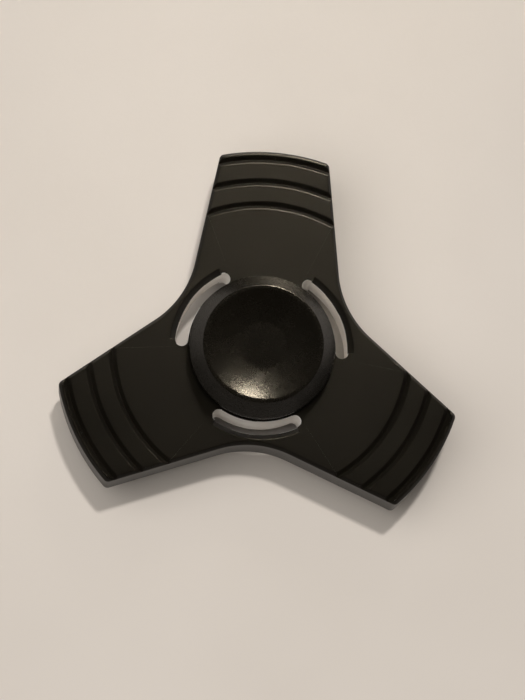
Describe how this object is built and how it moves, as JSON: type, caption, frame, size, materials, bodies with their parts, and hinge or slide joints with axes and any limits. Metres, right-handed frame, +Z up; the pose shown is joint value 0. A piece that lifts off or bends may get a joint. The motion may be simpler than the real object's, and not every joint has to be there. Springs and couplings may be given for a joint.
{
  "type": "fidget spinner",
  "caption": "Black metal spinner with flared arms, concentric grooves and arc slots round a ball bearing, held by two dished thumb caps.",
  "frame": {"origin": "on the spin axis, in the plane of the lower cap's rim, on which the spinner stands", "axes": "+Z up along the spin axis, out of the upper cap; one arm points along +Y, the other two at 120 degrees either side of it"},
  "size_m": [0.065, 0.0577, 0.0154],
  "materials": {
    "frame": "black anodised, fine bead-blasted satin; bright machined slot walls",
    "caps": "black anodised, turned, fine bead-blasted satin",
    "stud": "plain machined thread",
    "bearing_steel": "ground",
    "balls": "polished",
    "pressed_steel": "pressed strip, tumbled",
    "rivet_steel": "cold headed",
    "shield_steel": "pressed, bright",
    "clip_wire": "drawn spring wire"
  },
  "bodies": {
    "hub": {"upper_cap": "caps", "lower_cap": "caps", "cap_stud": "stud", "bearing_inner_ring": "bearing_steel"},
    "spinner": {"frame_body": "frame", "bearing_outer_ring": "bearing_steel", "upper_shield": "shield_steel", "lower_shield": "shield_steel", "upper_shield_clip": "clip_wire", "lower_shield_clip": "clip_wire"},
    "cage": {"cage_upper_half": "pressed_steel", "cage_lower_half": "pressed_steel", "cage_rivets": "rivet_steel"},
    "ball_1_body": {"ball_1": "balls"},
    "ball_2_body": {"ball_2": "balls"},
    "ball_3_body": {"ball_3": "balls"},
    "ball_4_body": {"ball_4": "balls"},
    "ball_5_body": {"ball_5": "balls"},
    "ball_6_body": {"ball_6": "balls"},
    "ball_7_body": {"ball_7": "balls"}
  },
  "joints": [
    {"name": "spin", "type": "hinge", "parent": "hub", "child": "spinner", "pos_m": [0, 0, 0.0077], "axis": [0, 0, 1], "continuous": true},
    {"name": "cage_turn", "type": "hinge", "parent": "hub", "child": "cage", "pos_m": [0, 0, 0.0077], "axis": [0, 0, 1], "continuous": true},
    {"name": "ball_1_roll", "type": "hinge", "parent": "cage", "child": "ball_1_body", "pos_m": [0, 0.0075, 0.0077], "axis": [0, 0, 1], "continuous": true},
    {"name": "ball_2_roll", "type": "hinge", "parent": "cage", "child": "ball_2_body", "pos_m": [-0.00586, 0.00468, 0.0077], "axis": [0, 0, 1], "continuous": true},
    {"name": "ball_3_roll", "type": "hinge", "parent": "cage", "child": "ball_3_body", "pos_m": [-0.00731, -0.00167, 0.0077], "axis": [0, 0, 1], "continuous": true},
    {"name": "ball_4_roll", "type": "hinge", "parent": "cage", "child": "ball_4_body", "pos_m": [-0.00325, -0.00676, 0.0077], "axis": [0, 0, 1], "continuous": true},
    {"name": "ball_5_roll", "type": "hinge", "parent": "cage", "child": "ball_5_body", "pos_m": [0.00325, -0.00676, 0.0077], "axis": [0, 0, 1], "continuous": true},
    {"name": "ball_6_roll", "type": "hinge", "parent": "cage", "child": "ball_6_body", "pos_m": [0.00731, -0.00167, 0.0077], "axis": [0, 0, 1], "continuous": true},
    {"name": "ball_7_roll", "type": "hinge", "parent": "cage", "child": "ball_7_body", "pos_m": [0.00586, 0.00468, 0.0077], "axis": [0, 0, 1], "continuous": true}
  ],
  "couplings": [
    {"joint": "cage_turn", "follows": "spin", "ratio": 0.6323},
    {"joint": "ball_1_roll", "follows": "spin", "ratio": 1.7573},
    {"joint": "ball_2_roll", "follows": "spin", "ratio": 1.7573},
    {"joint": "ball_3_roll", "follows": "spin", "ratio": 1.7573},
    {"joint": "ball_4_roll", "follows": "spin", "ratio": 1.7573},
    {"joint": "ball_5_roll", "follows": "spin", "ratio": 1.7573},
    {"joint": "ball_6_roll", "follows": "spin", "ratio": 1.7573},
    {"joint": "ball_7_roll", "follows": "spin", "ratio": 1.7573}
  ]
}
